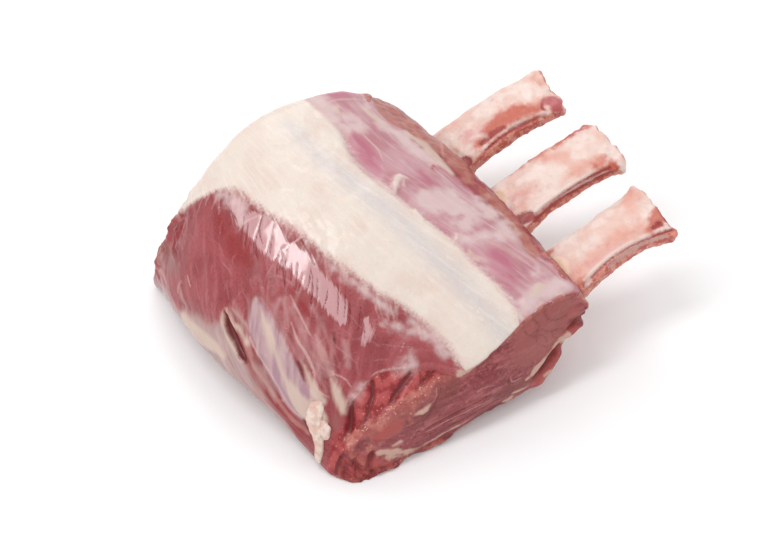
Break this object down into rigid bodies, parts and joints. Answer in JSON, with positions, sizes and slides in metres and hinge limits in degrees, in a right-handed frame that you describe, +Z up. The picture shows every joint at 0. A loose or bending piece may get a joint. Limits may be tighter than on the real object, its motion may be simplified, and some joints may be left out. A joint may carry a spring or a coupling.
{
  "type": "rack of lamb",
  "caption": "Raw French-trimmed rack of lamb: a block of loin meat with silverskin over its back and a row of bare curved rib bones.",
  "frame": {"origin": "centre of the underside: the middle of the whole rack's box in X and Y, on the surface it rests on", "axes": "+X from the chine side out along the ribs, +Y along the back from the near cut face to the far one, +Z up"},
  "size_m": [0.1196, 0.0926, 0.0487],
  "materials": {
    "meat": "moist raw meat with a pale silverskin",
    "bone": "scraped raw bone, slightly moist"
  },
  "bodies": {
    "root": {"meat": "meat", "rib_1": "bone", "rib_2": "bone", "rib_3": "bone"}
  },
  "joints": []
}
